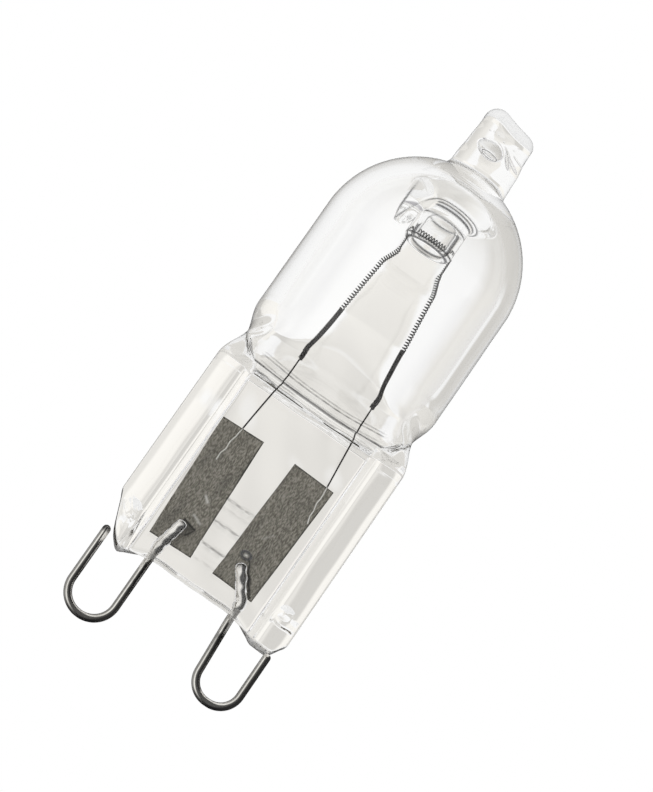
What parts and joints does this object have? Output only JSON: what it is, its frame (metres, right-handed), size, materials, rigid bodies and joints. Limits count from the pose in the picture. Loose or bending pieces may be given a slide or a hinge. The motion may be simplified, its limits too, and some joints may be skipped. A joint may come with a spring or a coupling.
{
  "type": "halogen capsule bulb",
  "caption": "Clear halogen capsule bulb: round quartz bulb with exhaust tip, coiled filament, pinched foot with sealed foils, and wire contact loops for a lamp holder.",
  "frame": {"origin": "on the bulb's axis in the seating plane, under the feet of the pinch and midway between the contact loops", "axes": "+Z along the axis from the loops to the exhaust tip, X across the pinch's wide side through both loops, -Y to the front"},
  "size_m": [0.0134, 0.013, 0.0407],
  "materials": {
    "quartz": "clear, flame polished",
    "tungsten": "drawn wire",
    "molybdenum_foil": "rolled, streaked",
    "molybdenum_wire": "polished"
  },
  "bodies": {
    "root": {"quartz_envelope": "quartz", "filament": "tungsten", "foil_left": "molybdenum_foil", "foil_right": "molybdenum_foil", "loop_pin_left": "molybdenum_wire", "loop_pin_right": "molybdenum_wire"}
  },
  "joints": []
}
